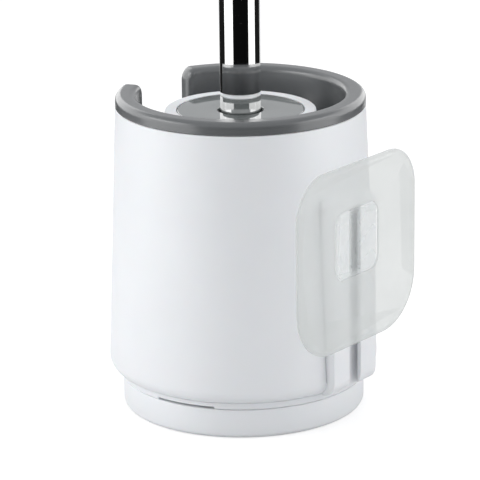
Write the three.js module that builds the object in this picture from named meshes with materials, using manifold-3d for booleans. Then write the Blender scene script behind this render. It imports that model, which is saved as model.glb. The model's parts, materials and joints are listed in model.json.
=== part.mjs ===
// Toilet brush holder with its brush and a stick-on wall plate. Millimetres, +Z up.
// The origin is the middle of the base's underside. +Y points at the wall, so the
// wall plate is at +Y and the open notch in the rim is near -Y, a little towards -X.

import * as THREE from 'three';
import { mergeVertices } from 'three/addons/utils/BufferGeometryUtils.js';
import Module from 'manifold-3d';

const wasm = await Module();
wasm.setup();

// ---- driving dimensions -------------------------------------------------------

const FULL_TURN = Math.PI * 2;
const GAP = 0.3;                  // clearance between pieces that touch
const ROUND_SEGMENTS = 64;        // facets round the shell, collar and base
const BRUSH_SEGMENTS = 32;        // facets round the brush's turned pieces
const TUFT_SEGMENTS = 20;         // facets round the bristles' outlines
const ARC_STEPS = 4;              // points along a rounded edge

const HOLDER_HEIGHT = 150.3;
const WALL = 2.4;                 // moulded wall of the shell

const BASE = { radius: 56.9, seamZ: 14.1, edge: 2.8, spigotRadius: 54.5, spigotTop: 22, wall: 2.1 };
const TRAY = { floorZ: 4, restRadius: 14, restZ: 6, recessZ: 1.2, padRadius: 30, ringInner: 50.5 };

const SHELL = { topRadius: 58.15, topZ: 144.2, footRadius: 63.45, footZ: 17.5, bandRadius: 57.3 };
const SHELL_BAND = { bottomZ: BASE.seamZ + GAP, topZ: 18, filletTopZ: 24.5 };

const COLLAR = { innerRadius: 48.5, seamZ: 144.5, outerEdge: 2, innerEdge: 2.8 };
const COLLAR_LINING = { thickness: 2, bottomZ: 104 };
const COLLAR_LIP = { innerRadius: 53.2, outerRadius: 55.4, bottomZ: 137 };
const NOTCH = { turn: -2.85, halfAngle: 18.7, floorZ: 112, floorRound: 8, topRound: 5, frame: 5.5 };

const VENT = { centre: 9, halfAngle: 15, height: 1.1, depth: 9 };

const PAD = { halfWidth: 16.4, faceY: 65.3, backY: 58.2, topZ: 111, slopeZ: 106.8, edge: 2 };
const CHANNEL = { slotHalf: 4.3, lipY: 63.5, cavityHalf: 7.6, floorY: 60.8, topZ: 106.3 };

const PLATE = { width: 92, bottomZ: 40.5, topZ: 127.1, innerY: 65.6, thickness: 1 };
const PLATE_CORNER = { top: 20.5, bottom: 25.5 };
const FILM = { margin: 1.5, thickness: 0.4 };
const HOOK = { width: 33, bottomZ: 73.5, topZ: 105.6, corner: 6 };
const HOOK_HEAD = { halfNeck: 3.8, halfHead: 6.9, frontY: 63.1, backY: 61.2, bottomZ: 75, topZ: 106 };

const TUBE = { radius: 9.5, wall: 0.8, bottomZ: 118, topZ: 388 };
const CAP = { topZ: 394, plugDepth: 16 };
const LID = { radius: 35.2, bottomZ: 133.5, topZ: 142, wall: 2, edge: 0.9 };
const LID_RECESS = { radius: 29.8, floorZ: 139.6 };
const INSET = { radius: 29.5, topZ: 141.8, holeRadius: 10.6, edge: 0.5 };
const LID_SLEEVE = { innerRadius: 11.6, outerRadius: 13.6, bottomZ: 126 };
const UNDERPLATE = { radius: 32.8, innerRadius: 14, thickness: 1.8 };
const BUSH = { innerRadius: 9.8, outerRadius: 11.3, topZ: 137, flangeRadius: 13.6, flangeZ: 124.2 };

const PLUG = { radius: 8.4, topZ: 150, flangeRadius: 9.5, flangeZ: 114.5, boreRadius: 4.3 };
const STUD = { radius: 4, topZ: 138, bottomZ: 96 };
const STEM = { radius: 6.2, flangeRadius: 9.5, topZ: 114.2, flangeZ: 109, bottomZ: 88 };
const HUB = { radius: 7.6, topZ: 87.7, bottomZ: 18, tipRadius: 5 };
const HEAD = { radius: 37, endRadius: 27, bottomZ: 20, topZ: 84, tiers: 6, tierGap: 0.6 };
const TIP = { radius: 22, bottomZ: 6.3, topZ: 19.4 };

// ---- small geometry helpers ---------------------------------------------------

const radians = THREE.MathUtils.degToRad;

function arc(centreX, centreY, radiusX, radiusY, fromDegrees, toDegrees, steps = ARC_STEPS) {
  const points = [];
  for (let step = 0; step <= steps; step += 1) {
    const angle = radians(THREE.MathUtils.lerp(fromDegrees, toDegrees, step / steps));
    points.push([centreX + radiusX * Math.cos(angle), centreY + radiusY * Math.sin(angle)]);
  }
  return points;
}

// A closed, outward-facing geometry that holds positions only.
function tidy(geometry) {
  geometry.deleteAttribute('normal');
  geometry.deleteAttribute('uv');
  const merged = mergeVertices(geometry, 1e-5);
  const position = merged.attributes.position;
  const corners = [];
  let volume = 0;
  const a = new THREE.Vector3();
  const b = new THREE.Vector3();
  const c = new THREE.Vector3();
  for (let i = 0; i < merged.index.count; i += 3) {
    const triangle = [0, 1, 2].map((k) => merged.index.getX(i + k));
    if (new Set(triangle).size < 3) continue;
    a.fromBufferAttribute(position, triangle[0]);
    b.fromBufferAttribute(position, triangle[1]);
    c.fromBufferAttribute(position, triangle[2]);
    volume += a.dot(b.cross(c));
    corners.push(triangle);
  }
  const outward = volume > 0 ? corners : corners.map((triangle) => triangle.reverse());
  merged.setIndex(outward.flat());
  return merged;
}

function toSolid(geometry) {
  const closed = tidy(geometry);
  const vertProperties = new Float32Array(closed.attributes.position.array);
  const triVerts = new Uint32Array(closed.index.array);
  return new wasm.Manifold(new wasm.Mesh({ numProp: 3, vertProperties, triVerts }));
}

function toGeometry(solid) {
  const mesh = solid.getMesh();
  const geometry = new THREE.BufferGeometry();
  geometry.setAttribute('position', new THREE.BufferAttribute(new Float32Array(mesh.vertProperties), 3));
  geometry.setIndex(new THREE.BufferAttribute(new Uint32Array(mesh.triVerts), 1));
  return geometry;
}

// A profile of [radius, height] pairs turned round +Z.
function turned(profile, segments = ROUND_SEGMENTS) {
  const onAxis = profile[0][0] === 0 && profile[profile.length - 1][0] === 0;
  const outline = onAxis ? profile : [...profile, profile[0]];
  const points = outline.map(([radius, height]) => new THREE.Vector2(radius, height));
  const geometry = new THREE.LatheGeometry(points, segments);
  geometry.rotateX(Math.PI / 2);
  geometry.rotateZ(FULL_TURN / 4);
  return geometry;
}

function ring(innerRadius, outerRadius, bottomZ, topZ, segments = BRUSH_SEGMENTS) {
  return turned([[innerRadius, bottomZ], [outerRadius, bottomZ], [outerRadius, topZ], [innerRadius, topZ]],
    segments);
}

// A closed outline of [x, z] pairs, made solid from fromY to toY.
function slab(outline, fromY, toY) {
  const shape = new THREE.Shape(outline.map(([x, z]) => new THREE.Vector2(x, z)));
  const geometry = new THREE.ExtrudeGeometry(shape, { depth: toY - fromY, bevelEnabled: false });
  geometry.rotateX(Math.PI / 2);
  geometry.translate(0, toY, 0);
  return geometry;
}

function block(halfX, fromY, toY, fromZ, toZ) {
  return slab([[-halfX, fromZ], [halfX, fromZ], [halfX, toZ], [-halfX, toZ]], fromY, toY);
}

function roundedRectangle(halfX, bottomZ, topZ, topCorner, bottomCorner = topCorner, steps = 6) {
  const topX = halfX - topCorner;
  const bottomX = halfX - bottomCorner;
  return [
    ...arc(topX, topZ - topCorner, topCorner, topCorner, 90, 0, steps),
    ...arc(bottomX, bottomZ + bottomCorner, bottomCorner, bottomCorner, 0, -90, steps),
    ...arc(-bottomX, bottomZ + bottomCorner, bottomCorner, bottomCorner, -90, -180, steps),
    ...arc(-topX, topZ - topCorner, topCorner, topCorner, 180, 90, steps),
  ];
}

function material(color, roughness, metalness = 0, options = {}) {
  return new THREE.MeshStandardMaterial({ color, roughness, metalness, ...options });
}

// ---- materials ----------------------------------------------------------------

const WHITE = () => material('#eceef2', 0.42);
const GREY = () => material('#6f7376', 0.38);
const INSET_GREY = () => material('#9aa3a3', 0.12);
const STEEL = () => material('#d8d8d8', 0.06, 1);
const FROSTED = () => material('#e4ebe8', 0.35, 0, { transparent: true, opacity: 0.7 });
const CLEAR = () => material('#f2f7f5', 0.15, 0, { transparent: true, opacity: 0.6 });
const BRISTLE = () => material('#f4f5f6', 0.6);

// ---- holder: base, shell and collar -------------------------------------------

function shellRadius(z) {
  const share = (z - SHELL.footZ) / (SHELL.topZ - SHELL.footZ);
  return THREE.MathUtils.lerp(SHELL.footRadius, SHELL.topRadius, share);
}

function baseTray() {
  const spigotInner = BASE.spigotRadius - BASE.wall;
  const tray = turned([
    [0, 0],
    [TRAY.padRadius, 0],
    [TRAY.padRadius + 1, TRAY.recessZ],
    [TRAY.ringInner, TRAY.recessZ],
    [TRAY.ringInner + 1, 0],
    ...arc(BASE.radius - BASE.edge, BASE.edge, BASE.edge, BASE.edge, -90, 0),
    [BASE.radius, BASE.seamZ],
    [BASE.spigotRadius, BASE.seamZ],
    [BASE.spigotRadius, BASE.spigotTop - 0.8],
    [BASE.spigotRadius - 0.8, BASE.spigotTop],
    [spigotInner, BASE.spigotTop],
    ...arc(spigotInner - BASE.edge, TRAY.floorZ + BASE.edge, BASE.edge, BASE.edge, 0, -90),
    [TRAY.restRadius + 2, TRAY.floorZ],
    [TRAY.restRadius, TRAY.restZ],
    [0, TRAY.restZ],
  ]);
  return toGeometry(cutVents(toSolid(tray)));
}

// A wedge whose two sides are planes through the Z axis, so a cut made with it is radial.
// Its outline is drawn at the rim's radius; grow moves the sides and the floor outwards.
function notchWedge(grow, topZ) {
  const outlineY = SHELL.topRadius;
  const half = outlineY * Math.tan(radians(NOTCH.halfAngle)) + grow;
  const floorZ = NOTCH.floorZ - grow;
  const round = NOTCH.floorRound + grow;
  const flare = grow > 0 ? 0 : NOTCH.topRound;
  const rightSide = [
    ...arc(half - round, floorZ + round, round, round, -90, 0),
    ...(flare ? arc(half + flare, HOLDER_HEIGHT - flare, flare, flare, 180, 90) : []),
    [half + flare, topZ],
  ];
  const leftSide = rightSide.map(([x, z]) => [-x, z]).reverse();
  const geometry = slab([...rightSide, ...leftSide], -outlineY - 10, -30);
  const position = geometry.attributes.position;
  for (let i = 0; i < position.count; i += 1) {
    position.setX(i, position.getX(i) * -position.getY(i) / outlineY);
  }
  geometry.rotateZ(radians(NOTCH.turn));
  return toSolid(geometry);
}

function shellBody() {
  const { bandRadius } = SHELL;
  const { bottomZ, topZ, filletTopZ } = SHELL_BAND;
  const footRadius = shellRadius(filletTopZ);
  return toSolid(turned([
    [bandRadius, bottomZ],
    ...arc(bandRadius, filletTopZ, footRadius - bandRadius, filletTopZ - topZ, -90, 0, 6),
    [SHELL.topRadius, SHELL.topZ],
    [SHELL.topRadius - WALL, SHELL.topZ],
    ...arc(bandRadius - WALL, filletTopZ, footRadius - bandRadius, filletTopZ - topZ - WALL, 0, -90, 6),
    [bandRadius - WALL, bottomZ],
  ]));
}

// The raised pad that holds the wall hook's channel. Its foot follows the shell's fillet.
function wallPad() {
  const { halfWidth, faceY, backY, topZ, slopeZ, edge } = PAD;
  const profile = [
    [backY, SHELL_BAND.topZ],
    ...arc(faceY - 6, SHELL_BAND.filletTopZ, 6, SHELL_BAND.filletTopZ - SHELL_BAND.topZ, -90, 0, 5),
    [faceY, slopeZ],
    [shellRadius(topZ) - 1, topZ],
    [backY, topZ],
  ];
  const side = new THREE.Shape(profile.map(([y, z]) => new THREE.Vector2(y, z)));
  const geometry = new THREE.ExtrudeGeometry(side, { depth: 2 * halfWidth, bevelEnabled: false });
  geometry.rotateX(Math.PI / 2);
  geometry.rotateZ(Math.PI / 2);
  geometry.translate(-halfWidth, 0, 0);
  const across = new THREE.Shape([
    [-halfWidth, backY - 1],
    [halfWidth, backY - 1],
    ...arc(halfWidth - edge, faceY - edge, edge, edge, 0, 90, 3),
    ...arc(-halfWidth + edge, faceY - edge, edge, edge, 90, 180, 3),
  ].map(([x, y]) => new THREE.Vector2(x, y)));
  const softened = new THREE.ExtrudeGeometry(across, { depth: HOLDER_HEIGHT, bevelEnabled: false });
  return toSolid(geometry).intersect(toSolid(softened));
}

function hookChannel() {
  const slot = block(CHANNEL.slotHalf, CHANNEL.lipY - 0.5, PAD.faceY + 5, 0, CHANNEL.topZ);
  const cavity = block(CHANNEL.cavityHalf, CHANNEL.floorY, CHANNEL.lipY, 0, CHANNEL.topZ);
  return toSolid(slot).add(toSolid(cavity));
}

// A low air slot in the seam: it cuts the shell's bottom edge and the base's spigot behind it.
function ventSlot(side) {
  const { centre, halfAngle, height, depth } = VENT;
  const steps = 6;
  const outer = SHELL.bandRadius + 4;
  const inner = SHELL.bandRadius - depth;
  const outline = [
    ...arc(0, 0, outer, outer, -halfAngle, halfAngle, steps),
    ...arc(0, 0, inner, inner, halfAngle, -halfAngle, steps),
  ];
  const shape = new THREE.Shape(outline.map(([x, y]) => new THREE.Vector2(x, y)));
  const geometry = new THREE.ExtrudeGeometry(shape, { depth: height + GAP, bevelEnabled: false });
  geometry.translate(0, 0, BASE.seamZ);
  geometry.rotateZ(side > 0 ? radians(centre) : Math.PI - radians(centre));
  return toSolid(geometry);
}

function cutVents(solid) {
  return solid.subtract(ventSlot(1)).subtract(ventSlot(-1));
}

function shell() {
  const cut = notchWedge(NOTCH.frame + GAP, HOLDER_HEIGHT + 5);
  const solid = shellBody()
    .add(wallPad())
    .subtract(hookChannel())
    .subtract(cut);
  return toGeometry(cutVents(solid));
}

function collarRing() {
  const { innerRadius, seamZ, outerEdge, innerEdge } = COLLAR;
  const liningRadius = innerRadius + COLLAR_LINING.thickness;
  const outerRadius = SHELL.topRadius;
  return toSolid(turned([
    [innerRadius, COLLAR_LINING.bottomZ],
    [liningRadius, COLLAR_LINING.bottomZ],
    [liningRadius, seamZ],
    [COLLAR_LIP.innerRadius, seamZ],
    [COLLAR_LIP.innerRadius, COLLAR_LIP.bottomZ],
    [COLLAR_LIP.outerRadius, COLLAR_LIP.bottomZ],
    [COLLAR_LIP.outerRadius, seamZ],
    [outerRadius, seamZ],
    ...arc(outerRadius - outerEdge, HOLDER_HEIGHT - outerEdge, outerEdge, outerEdge, 0, 90),
    ...arc(innerRadius + innerEdge, HOLDER_HEIGHT - innerEdge, innerEdge, innerEdge, 90, 180),
  ]));
}

// The frame that lines the notch: two cheeks and a sill, flush with the shell outside.
function notchFrame() {
  const bottomZ = NOTCH.floorZ - NOTCH.frame - 1;
  const sleeve = turned([
    [COLLAR.innerRadius, bottomZ],
    [shellRadius(bottomZ), bottomZ],
    [shellRadius(COLLAR.seamZ), COLLAR.seamZ],
    [COLLAR.innerRadius, COLLAR.seamZ],
  ]);
  return notchWedge(NOTCH.frame, COLLAR.seamZ).intersect(toSolid(sleeve));
}

function collar() {
  const solid = collarRing()
    .add(notchFrame())
    .subtract(notchWedge(0, HOLDER_HEIGHT + 5));
  return toGeometry(solid);
}

// ---- wall plate, hook and adhesive --------------------------------------------

const PLATE_OUTER_Y = PLATE.innerY + PLATE.thickness;

function wallPlate() {
  const { width, bottomZ, topZ } = PLATE;
  const outline = roundedRectangle(width / 2, bottomZ, topZ, PLATE_CORNER.top, PLATE_CORNER.bottom);
  const window = roundedRectangle(HOOK.width / 2, HOOK.bottomZ, HOOK.topZ, HOOK.corner);
  const plate = toSolid(slab(outline, PLATE.innerY, PLATE_OUTER_Y));
  const opening = toSolid(slab(window, PLATE.innerY - 1, PLATE_OUTER_Y + 1));
  return toGeometry(plate.subtract(opening));
}

function wallHook() {
  const half = HOOK.width / 2 - GAP;
  const outline = roundedRectangle(half, HOOK.bottomZ + GAP, HOOK.topZ - GAP, HOOK.corner - GAP);
  const foot = toSolid(slab(outline, PLATE.innerY, PLATE_OUTER_Y));
  const { halfNeck, halfHead, frontY, backY, bottomZ, topZ } = HOOK_HEAD;
  const neck = toSolid(block(halfNeck, frontY - 0.5, PLATE.innerY + 0.5, bottomZ, topZ - 0.6));
  const head = toSolid(block(halfHead, backY, frontY, bottomZ, topZ));
  return toGeometry(foot.add(neck).add(head));
}

function adhesiveFilm() {
  const { margin } = FILM;
  const half = PLATE.width / 2 - margin;
  const outline = roundedRectangle(half, PLATE.bottomZ + margin, PLATE.topZ - margin,
    PLATE_CORNER.top - margin, PLATE_CORNER.bottom - margin);
  return slab(outline, PLATE_OUTER_Y, PLATE_OUTER_Y + FILM.thickness);
}

// ---- brush: handle, lid and head ----------------------------------------------

function handleTube() {
  return ring(TUBE.radius - TUBE.wall, TUBE.radius, TUBE.bottomZ, TUBE.topZ);
}

function handleCap() {
  const plugRadius = TUBE.radius - TUBE.wall - GAP;
  return turned([
    [0, TUBE.topZ - CAP.plugDepth],
    [plugRadius, TUBE.topZ - CAP.plugDepth],
    [plugRadius, TUBE.topZ],
    [TUBE.radius, TUBE.topZ],
    ...arc(0, TUBE.topZ + 1.5, TUBE.radius, CAP.topZ - TUBE.topZ - 1.5, 0, 84, 6),
    [0, CAP.topZ],
  ], BRUSH_SEGMENTS);
}

function lidDisc() {
  const { radius, bottomZ, topZ, wall, edge } = LID;
  const { radius: recessRadius, floorZ } = LID_RECESS;
  const deckZ = floorZ - wall;
  return turned([
    [radius - wall, bottomZ],
    [radius, bottomZ],
    ...arc(radius - edge, topZ - edge, edge, edge, 0, 90, 3),
    [recessRadius, topZ],
    [recessRadius, floorZ],
    [LID_SLEEVE.innerRadius, floorZ],
    [LID_SLEEVE.innerRadius, LID_SLEEVE.bottomZ],
    [LID_SLEEVE.outerRadius, LID_SLEEVE.bottomZ],
    [LID_SLEEVE.outerRadius, deckZ],
    [radius - wall, deckZ],
  ], BRUSH_SEGMENTS);
}

function lidInset() {
  const { radius, topZ, holeRadius, edge } = INSET;
  const bottomZ = LID_RECESS.floorZ + 0.05;
  return turned([
    [holeRadius, bottomZ],
    [radius, bottomZ],
    ...arc(radius - edge, topZ - edge, edge, edge, 0, 90, 2),
    ...arc(holeRadius + edge, topZ - edge, edge, edge, 90, 180, 2),
  ], BRUSH_SEGMENTS);
}

function lidUnderplate() {
  const topZ = LID.bottomZ + UNDERPLATE.thickness;
  return ring(UNDERPLATE.innerRadius, UNDERPLATE.radius, LID.bottomZ, topZ);
}

// The grip bush fixes the lid's sleeve on the tube.
function lidBush() {
  return turned([
    [BUSH.innerRadius, BUSH.flangeZ],
    [BUSH.flangeRadius, BUSH.flangeZ],
    [BUSH.flangeRadius, LID_SLEEVE.bottomZ - GAP],
    [BUSH.outerRadius, LID_SLEEVE.bottomZ - GAP],
    [BUSH.outerRadius, BUSH.topZ],
    [BUSH.innerRadius, BUSH.topZ],
  ], BRUSH_SEGMENTS);
}

function tubePlug() {
  return turned([
    [PLUG.boreRadius, PLUG.flangeZ],
    [PLUG.flangeRadius, PLUG.flangeZ],
    [PLUG.flangeRadius, TUBE.bottomZ - 0.1],
    [PLUG.radius, TUBE.bottomZ - 0.1],
    [PLUG.radius, PLUG.topZ],
    [PLUG.boreRadius, PLUG.topZ],
  ], BRUSH_SEGMENTS);
}

function threadedStud() {
  return turned([
    [0, STUD.bottomZ],
    [STUD.radius, STUD.bottomZ],
    [STUD.radius, STUD.topZ - 1],
    [STUD.radius - 1, STUD.topZ],
    [0, STUD.topZ],
  ], 20);
}

function brushStem() {
  const bore = STUD.radius + GAP;
  return turned([
    [0, STEM.bottomZ],
    [STEM.radius, STEM.bottomZ],
    [STEM.radius, STEM.flangeZ - 4],
    [STEM.flangeRadius, STEM.flangeZ],
    [STEM.flangeRadius, STEM.topZ],
    [bore, STEM.topZ],
    [bore, STUD.bottomZ - GAP],
    [0, STUD.bottomZ - GAP],
  ], BRUSH_SEGMENTS);
}

function brushHub() {
  return turned([
    [0, HUB.bottomZ + 2],
    [HUB.tipRadius, HUB.bottomZ + 2],
    [HUB.radius, HUB.bottomZ + 8],
    [HUB.radius, HUB.topZ - 2],
    [HUB.radius - 2, HUB.topZ],
    [0, HUB.topZ],
  ], BRUSH_SEGMENTS);
}

// The head's outline is a barrel: full radius in the middle, smaller at its two ends.
function headRadius(z) {
  const middle = (HEAD.bottomZ + HEAD.topZ) / 2;
  const share = Math.abs(z - middle) / ((HEAD.topZ - HEAD.bottomZ) / 2);
  return THREE.MathUtils.lerp(HEAD.radius, HEAD.endRadius, share ** 3);
}

function bristleTier(index) {
  const pitch = (HEAD.topZ - HEAD.bottomZ) / HEAD.tiers;
  const bottomZ = HEAD.bottomZ + index * pitch;
  const topZ = bottomZ + pitch - HEAD.tierGap;
  const inner = HUB.radius + GAP;
  return turned([
    [inner, bottomZ],
    [headRadius(bottomZ), bottomZ],
    [headRadius(topZ), topZ],
    [inner, topZ],
  ], TUFT_SEGMENTS);
}

function bristleTip() {
  return turned([
    [0, TIP.bottomZ],
    [TRAY.restRadius - 2, TIP.bottomZ],
    [TIP.radius, TIP.topZ - 4],
    [TIP.radius, TIP.topZ],
    [0, TIP.topZ],
  ], TUFT_SEGMENTS);
}

// ---- the assembly -------------------------------------------------------------

const assembly = new THREE.Group();

function addPiece(name, geometry, finish, parent = assembly) {
  const mesh = new THREE.Mesh(tidy(geometry), finish);
  mesh.name = name;
  mesh.geometry.computeVertexNormals();
  parent.add(mesh);
}

const holder = new THREE.Group();
assembly.add(holder);
addPiece('base_tray', baseTray(), WHITE(), holder);
addPiece('shell', shell(), WHITE(), holder);
addPiece('collar', collar(), GREY(), holder);

const wallMount = new THREE.Group();
assembly.add(wallMount);
addPiece('wall_plate', wallPlate(), FROSTED(), wallMount);
addPiece('wall_hook', wallHook(), CLEAR(), wallMount);
addPiece('adhesive_film', adhesiveFilm(), CLEAR(), wallMount);

const brush = new THREE.Group();
assembly.add(brush);
addPiece('handle_tube', handleTube(), STEEL(), brush);
addPiece('handle_cap', handleCap(), STEEL(), brush);
addPiece('lid_disc', lidDisc(), WHITE(), brush);
addPiece('lid_inset', lidInset(), INSET_GREY(), brush);
addPiece('lid_underplate', lidUnderplate(), WHITE(), brush);
addPiece('lid_bush', lidBush(), GREY(), brush);
addPiece('tube_plug', tubePlug(), WHITE(), brush);
addPiece('threaded_stud', threadedStud(), STEEL(), brush);
addPiece('brush_stem', brushStem(), WHITE(), brush);
addPiece('brush_hub', brushHub(), WHITE(), brush);
for (let tier = 0; tier < HEAD.tiers; tier += 1) {
  addPiece(`bristle_tier_${tier + 1}`, bristleTier(tier), BRISTLE(), brush);
}
addPiece('bristle_tip', bristleTip(), BRISTLE(), brush);

export default assembly;
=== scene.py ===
"""Toilet brush holder: the looks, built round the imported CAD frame.

Lengths are written in millimetres and turned into metres by MM. The row frame has +Z up,
+Y towards the wall and the open notch near -Y, a little towards -X.
"""

import json
import math
import random

import bmesh
import bpy
from mathutils import Matrix, Vector

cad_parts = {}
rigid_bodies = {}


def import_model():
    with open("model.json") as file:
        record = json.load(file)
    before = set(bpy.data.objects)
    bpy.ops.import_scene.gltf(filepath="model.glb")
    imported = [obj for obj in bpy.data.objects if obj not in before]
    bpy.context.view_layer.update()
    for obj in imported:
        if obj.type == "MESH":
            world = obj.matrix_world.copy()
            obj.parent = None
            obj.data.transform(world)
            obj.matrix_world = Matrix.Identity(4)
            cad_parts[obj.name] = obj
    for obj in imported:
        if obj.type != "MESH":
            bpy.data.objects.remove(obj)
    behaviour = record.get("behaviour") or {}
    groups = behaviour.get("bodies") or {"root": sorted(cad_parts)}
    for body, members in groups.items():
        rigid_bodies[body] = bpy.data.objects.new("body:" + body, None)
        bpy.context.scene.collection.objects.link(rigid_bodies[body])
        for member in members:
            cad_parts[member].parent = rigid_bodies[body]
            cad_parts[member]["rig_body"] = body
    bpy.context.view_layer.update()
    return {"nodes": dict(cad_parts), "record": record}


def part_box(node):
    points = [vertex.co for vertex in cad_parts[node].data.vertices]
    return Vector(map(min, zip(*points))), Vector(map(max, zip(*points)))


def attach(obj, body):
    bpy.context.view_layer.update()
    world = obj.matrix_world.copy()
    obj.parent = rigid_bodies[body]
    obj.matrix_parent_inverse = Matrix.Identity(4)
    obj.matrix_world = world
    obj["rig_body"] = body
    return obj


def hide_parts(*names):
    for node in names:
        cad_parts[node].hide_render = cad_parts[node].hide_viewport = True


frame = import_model()

MM = 0.001
SEED = 7


# ---- camera, floor and light ---------------------------------------------------

CAMERA_AZIMUTH = 127.8         # degrees, 0 looks along +Y
CAMERA_ELEVATION = 17.3
CAMERA_ROLL = 0.69
CAMERA_DISTANCE = 1500 * MM
CAMERA_LENS = 239.3
TARGET = Vector((0, 0, 70 * MM))
AIM_UP = 7.95 * MM
AIM_LEFT = 1.0 * MM
SENSOR_WIDTH = 36
CLIP_START = 10 * MM

FLOOR_ALBEDO = 0.5
FLOOR_GLOW = 0.62              # keeps the seen floor a plain pale backdrop
BOUNCE_ALBEDO = 0.72
BOUNCE_DEPTH = 0.4 * MM        # how far the bounce sheet lies under the floor
WORLD_COLOUR = (0.97, 0.98, 1.0, 1)
WORLD_STRENGTH = 0.54


def sideways(azimuth, distance, height=0.0):
    """The point at that azimuth from the camera's side: positive turns to the picture's right."""
    angle = math.radians(CAMERA_AZIMUTH - 90 + azimuth)
    return Vector((distance * math.cos(angle), distance * math.sin(angle), height))


def basis(right, forward, location):
    """A camera or light matrix from its right and forward directions."""
    up = right.cross(forward)
    rotation = Matrix((right, up, -forward)).transposed().to_4x4()
    return Matrix.Translation(location) @ rotation


def look_at(location, target):
    """The matrix that stands at location and faces target."""
    forward = (target - location).normalized()
    right = forward.cross(Vector((0, 0, 1))).normalized()
    return basis(right, forward, location)


def make_camera():
    """The camera, a little rolled and aimed a little off the target."""
    elevation = math.radians(CAMERA_ELEVATION)
    reach = CAMERA_DISTANCE * math.cos(elevation)
    location = sideways(0, reach, TARGET.z + CAMERA_DISTANCE * math.sin(elevation))
    level = look_at(location, TARGET)
    right = level.col[0].to_3d()
    up = level.col[1].to_3d()
    forward = (TARGET + up * AIM_UP - right * AIM_LEFT - location).normalized()
    roll = math.radians(CAMERA_ROLL)
    right = right * math.cos(roll) - up * math.sin(roll)
    right = (right - forward * right.dot(forward)).normalized()
    data = bpy.data.cameras.new("camera")
    data.lens = CAMERA_LENS
    data.sensor_width = SENSOR_WIDTH
    data.clip_start = CLIP_START
    camera = bpy.data.objects.new("camera", data)
    camera.matrix_world = basis(right, forward, location)
    bpy.context.scene.collection.objects.link(camera)
    bpy.context.scene.camera = camera


def area_light(name, azimuth, distance, height, size, power, seen_in_gloss):
    """A square softbox aimed at the holder."""
    data = bpy.data.lights.new(name, "AREA")
    data.shape = "RECTANGLE"
    data.size = size
    data.size_y = size
    data.energy = power
    light = bpy.data.objects.new(name, data)
    light.matrix_world = look_at(sideways(azimuth, distance, height), TARGET)
    light.visible_glossy = seen_in_gloss
    bpy.context.scene.collection.objects.link(light)


def emission_material(name, strength):
    """A plain white glow."""
    material = bpy.data.materials.new(name)
    material.use_nodes = True
    nodes = material.node_tree.nodes
    nodes.clear()
    glow = nodes.new("ShaderNodeEmission")
    glow.inputs["Color"].default_value = (1, 1, 1, 1)
    glow.inputs["Strength"].default_value = strength
    output = nodes.new("ShaderNodeOutputMaterial")
    material.node_tree.links.new(glow.outputs[0], output.inputs["Surface"])
    return material


def reflection_card(name, from_azimuth, to_azimuth, strength, radius=0.40, bottom=0.002, top=0.30):
    """A curved softbox or black flag that only shiny surfaces see."""
    steps = 24
    vertices = []
    for step in range(steps + 1):
        azimuth = from_azimuth + (to_azimuth - from_azimuth) * step / steps
        vertices.append(sideways(azimuth, radius, bottom))
        vertices.append(sideways(azimuth, radius, top))
    faces = [(2 * i, 2 * i + 2, 2 * i + 3, 2 * i + 1) for i in range(steps)]
    mesh = bpy.data.meshes.new(name)
    mesh.from_pydata(vertices, [], faces)
    card = bpy.data.objects.new(name, mesh)
    bpy.context.scene.collection.objects.link(card)
    mesh.materials.append(emission_material(name, strength))
    card.visible_camera = False
    card.visible_diffuse = False
    card.visible_transmission = False
    card.visible_volume_scatter = False
    card.visible_shadow = False


def plain_sheet(name, height, half=12.0):
    """A level square, seen as floor or used to bounce light."""
    mesh = bpy.data.meshes.new(name)
    corners = [(-half, -half, height), (half, -half, height), (half, half, height), (-half, half, height)]
    mesh.from_pydata(corners, [], [(0, 1, 2, 3)])
    sheet = bpy.data.objects.new(name, mesh)
    bpy.context.scene.collection.objects.link(sheet)
    return sheet


def floor_material(name, albedo, glow):
    material = bpy.data.materials.new(name)
    material.use_nodes = True
    shader = material.node_tree.nodes["Principled BSDF"]
    shader.inputs["Base Color"].default_value = (albedo, albedo, albedo, 1)
    shader.inputs["Roughness"].default_value = 0.9
    shader.inputs["Specular IOR Level"].default_value = 0.1
    shader.inputs["Emission Color"].default_value = (1, 1, 1, 1)
    shader.inputs["Emission Strength"].default_value = glow
    return material


def make_floor():
    """The pale floor that is seen, and a dimmer sheet under it that throws light back up."""
    floor = plain_sheet("floor", 0.0)
    floor.data.materials.append(floor_material("floor", FLOOR_ALBEDO, FLOOR_GLOW))
    floor.visible_diffuse = False
    floor.visible_glossy = False
    floor.visible_shadow = False
    bounce = plain_sheet("floor_bounce", -BOUNCE_DEPTH)
    bounce.data.materials.append(floor_material("floor_bounce", BOUNCE_ALBEDO, 0.0))
    bounce.visible_camera = False
    bounce.visible_shadow = False


def make_world():
    """Soft light from all round."""
    world = bpy.data.worlds.new("studio")
    world.use_nodes = True
    background = world.node_tree.nodes["Background"]
    background.inputs["Color"].default_value = WORLD_COLOUR
    background.inputs["Strength"].default_value = WORLD_STRENGTH
    bpy.context.scene.world = world
    bpy.context.scene.view_settings.view_transform = "Standard"


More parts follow.
